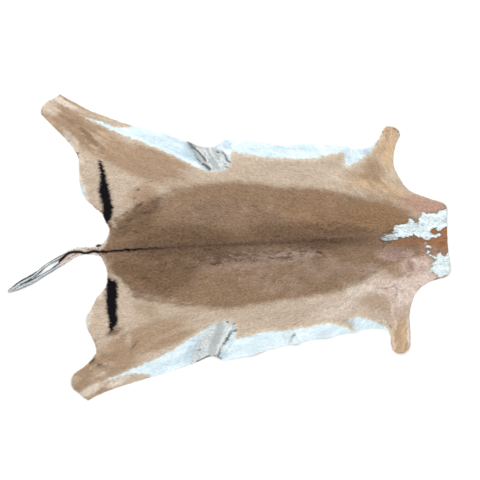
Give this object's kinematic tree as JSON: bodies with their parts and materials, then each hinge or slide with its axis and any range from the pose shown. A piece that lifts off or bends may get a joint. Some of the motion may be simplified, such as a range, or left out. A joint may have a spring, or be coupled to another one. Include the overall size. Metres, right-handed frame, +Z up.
{
  "type": "antelope hide",
  "caption": "Tanned antelope hide with its short hair on, lying flat with the neck, front and hind leg flaps spread and the split tail laid out behind.",
  "frame": {"origin": "on the floor, in the middle of the box round the hide and its tail", "axes": "+X along the spine from the tail to the neck, +Y to the animal's left side, +Z up through the hair side"},
  "size_m": [1.24, 0.86, 0.0102],
  "materials": {
    "short hair": "short glossy hair lying from neck to tail on soft tanned skin: brown saddle, tan flanks and legs, white belly and neck marks, two black rump stripes",
    "tail hair": "long silvery grey and cream hair over a split strip of skin with a black line along its middle"
  },
  "bodies": {
    "root": {"hide": "short hair", "tail": "tail hair"}
  },
  "joints": []
}
